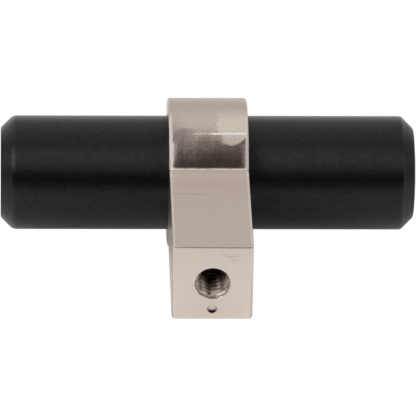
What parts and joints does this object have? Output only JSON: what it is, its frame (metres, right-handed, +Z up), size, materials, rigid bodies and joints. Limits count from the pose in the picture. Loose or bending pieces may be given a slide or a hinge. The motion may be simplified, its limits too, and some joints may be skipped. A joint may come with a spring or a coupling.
{
  "type": "bar knob",
  "caption": "Cabinet knob with a matte black round bar held across a satin nickel collar and square post, tapped in its mounting face for a door screw.",
  "frame": {"origin": "centre of the mounting face, on the axis of the screw hole", "axes": "+Y out of the mounting face and into the door, the bar lies along X at the -Y end of the post, and +Z is up on an upright door, with the small dimple below the screw hole"},
  "size_m": [0.0508, 0.0349, 0.0184],
  "materials": {
    "black_coating": "matte black coating on a turned bar, smooth, with a soft sheen",
    "satin_nickel": "warm satin nickel plating with fine brush lines along the bar, edges worn bright",
    "dark_steel": "dark oiled steel"
  },
  "bodies": {
    "root": {"bar": "black_coating", "post": "satin_nickel", "grub_screw": "dark_steel"}
  },
  "joints": []
}
